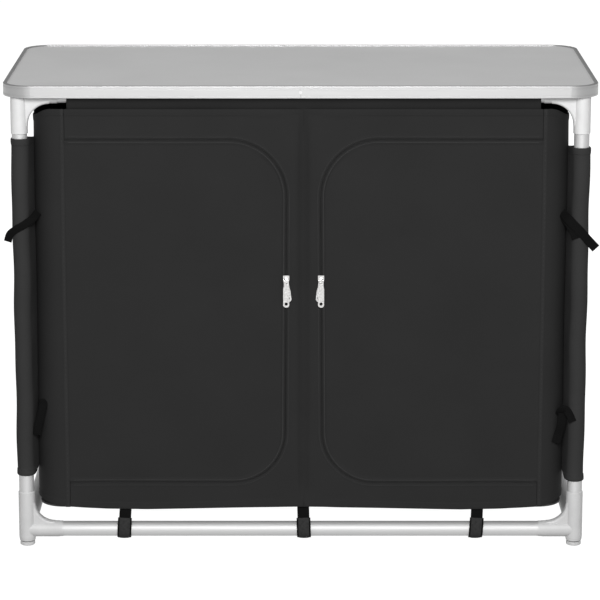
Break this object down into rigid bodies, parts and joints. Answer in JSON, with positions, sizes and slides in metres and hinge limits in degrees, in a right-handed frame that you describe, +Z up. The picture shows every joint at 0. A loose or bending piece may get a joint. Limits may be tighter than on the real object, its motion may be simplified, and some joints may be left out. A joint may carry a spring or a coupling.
{
  "type": "camp kitchen table",
  "caption": "Camp kitchen table: aluminium-rimmed board on a plug-together tube frame, with a black cloth cupboard behind two zipped doors.",
  "frame": {"origin": "on the ground, under the middle of the tabletop", "axes": "+X to the right along the tabletop's length, +Y to the back, +Z up"},
  "size_m": [0.9742, 0.475, 0.78],
  "materials": {
    "board_laminate": "smooth grey laminate on fibreboard",
    "rim_aluminium": "satin anodised extrusion",
    "tube_aluminium": "satin silver tube",
    "fitting_nylon": "moulded light grey, fine matt grain",
    "foot_nylon": "moulded light grey",
    "fastener_steel": "zinc plated",
    "cabinet_cloth": "coated black polyester, fine plain weave",
    "tie_webbing": "black woven webbing",
    "hook_and_loop": "black hook and loop tape",
    "zip_tape": "black woven tape with a nylon coil",
    "zip_metal": "nickel plated die casting",
    "stiffener_board": "fibreboard covered in black cloth"
  },
  "bodies": {
    "table": {"back_panel": "cabinet_cloth", "board_clips": "fitting_nylon", "cabinet_floor": "cabinet_cloth", "centre_partition": "cabinet_cloth", "clip_screws": "fastener_steel", "floor_boards": "stiffener_board", "front_panel": "cabinet_cloth", "leg_front_left": "tube_aluminium", "leg_front_right": "tube_aluminium", "leg_rear_left": "tube_aluminium", "leg_rear_right": "tube_aluminium", "leg_sleeve_front_left": "cabinet_cloth", "leg_sleeve_front_right": "cabinet_cloth", "leg_sleeve_rear_left": "cabinet_cloth", "leg_sleeve_rear_right": "cabinet_cloth", "lower_corner_front_left": "fitting_nylon", "lower_corner_front_right": "fitting_nylon", "lower_corner_rear_left": "fitting_nylon", "lower_corner_rear_right": "fitting_nylon", "lower_rail_front": "tube_aluminium", "lower_rail_left": "tube_aluminium", "lower_rail_rear": "tube_aluminium", "lower_rail_right": "tube_aluminium", "rail_sleeve_front": "cabinet_cloth", "rail_sleeve_rear": "cabinet_cloth", "rail_straps_front": "hook_and_loop", "rail_straps_rear": "hook_and_loop", "rim_rivet": "fastener_steel", "shelf_left": "stiffener_board", "shelf_right": "stiffener_board", "side_panel_left": "cabinet_cloth", "side_panel_right": "cabinet_cloth", "tabletop_board": "board_laminate", "tabletop_rim": "rim_aluminium", "tie_straps_left": "tie_webbing", "tie_straps_right": "tie_webbing", "upper_corner_front_left": "fitting_nylon", "upper_corner_front_right": "fitting_nylon", "upper_corner_rear_left": "fitting_nylon", "upper_corner_rear_right": "fitting_nylon", "upper_rail_front": "tube_aluminium", "upper_rail_left": "tube_aluminium", "upper_rail_rear": "tube_aluminium", "upper_rail_right": "tube_aluminium", "zip_frame_halves": "zip_tape"},
    "door_left": {"door_left": "cabinet_cloth", "zip_door_half_left": "zip_tape"},
    "slider_left": {"zip_slider_left": "zip_metal"},
    "pull_left": {"zip_pull_left": "zip_metal"},
    "pull_rear_left": {"zip_pull_rear_left": "zip_metal"},
    "door_right": {"door_right": "cabinet_cloth", "zip_door_half_right": "zip_tape"},
    "slider_right": {"zip_slider_right": "zip_metal"},
    "pull_right": {"zip_pull_right": "zip_metal"},
    "pull_rear_right": {"zip_pull_rear_right": "zip_metal"},
    "foot_front_left": {"levelling_foot_front_left": "foot_nylon"},
    "foot_front_right": {"levelling_foot_front_right": "foot_nylon"},
    "foot_rear_left": {"levelling_foot_rear_left": "foot_nylon"},
    "foot_rear_right": {"levelling_foot_rear_right": "foot_nylon"}
  },
  "joints": [
    {"name": "door_left_swing", "type": "hinge", "parent": "table", "child": "door_left", "pos_m": [-0.385, -0.222, 0.4], "axis": [0, 0, -1], "range_deg": [0, 120]},
    {"name": "zip_left_slide", "type": "slide", "parent": "door_left", "child": "slider_left", "axis": [0.0069, 0, 1], "range_m": [-0.245, 0.125]},
    {"name": "pull_left_swing", "type": "hinge", "parent": "slider_left", "child": "pull_left", "pos_m": [-0.02361, -0.2269, 0.457], "axis": [-1, 0, 0], "range_deg": [0, 95]},
    {"name": "pull_rear_left_swing", "type": "hinge", "parent": "slider_left", "child": "pull_rear_left", "pos_m": [-0.02361, -0.225, 0.454], "axis": [-0.9925, 0, -0.1219], "range_deg": [0, 95]},
    {"name": "door_right_swing", "type": "hinge", "parent": "table", "child": "door_right", "pos_m": [0.395, -0.222, 0.4], "axis": [0, 0, 1], "range_deg": [0, 120]},
    {"name": "zip_right_slide", "type": "slide", "parent": "door_right", "child": "slider_right", "axis": [-0.0069, 0, 1], "range_m": [-0.245, 0.125]},
    {"name": "pull_right_swing", "type": "hinge", "parent": "slider_right", "child": "pull_right", "pos_m": [0.03361, -0.2269, 0.457], "axis": [-1, 0, 0], "range_deg": [0, 95]},
    {"name": "pull_rear_right_swing", "type": "hinge", "parent": "slider_right", "child": "pull_rear_right", "pos_m": [0.03361, -0.225, 0.454], "axis": [-0.9925, 0, 0.1219], "range_deg": [0, 95]},
    {"name": "foot_front_left_wind", "type": "slide", "parent": "table", "child": "foot_front_left", "axis": [0, 0, -1], "range_m": [-0.0015, 0.01]},
    {"name": "foot_front_right_wind", "type": "slide", "parent": "table", "child": "foot_front_right", "axis": [0, 0, -1], "range_m": [-0.0015, 0.01]},
    {"name": "foot_rear_left_wind", "type": "slide", "parent": "table", "child": "foot_rear_left", "axis": [0, 0, -1], "range_m": [-0.0015, 0.01]},
    {"name": "foot_rear_right_wind", "type": "slide", "parent": "table", "child": "foot_rear_right", "axis": [0, 0, -1], "range_m": [-0.0015, 0.01]}
  ],
  "couplings": [
    {"joint": "pull_rear_left_swing", "follows": "pull_left_swing", "ratio": 1},
    {"joint": "pull_rear_right_swing", "follows": "pull_right_swing", "ratio": 1}
  ]
}
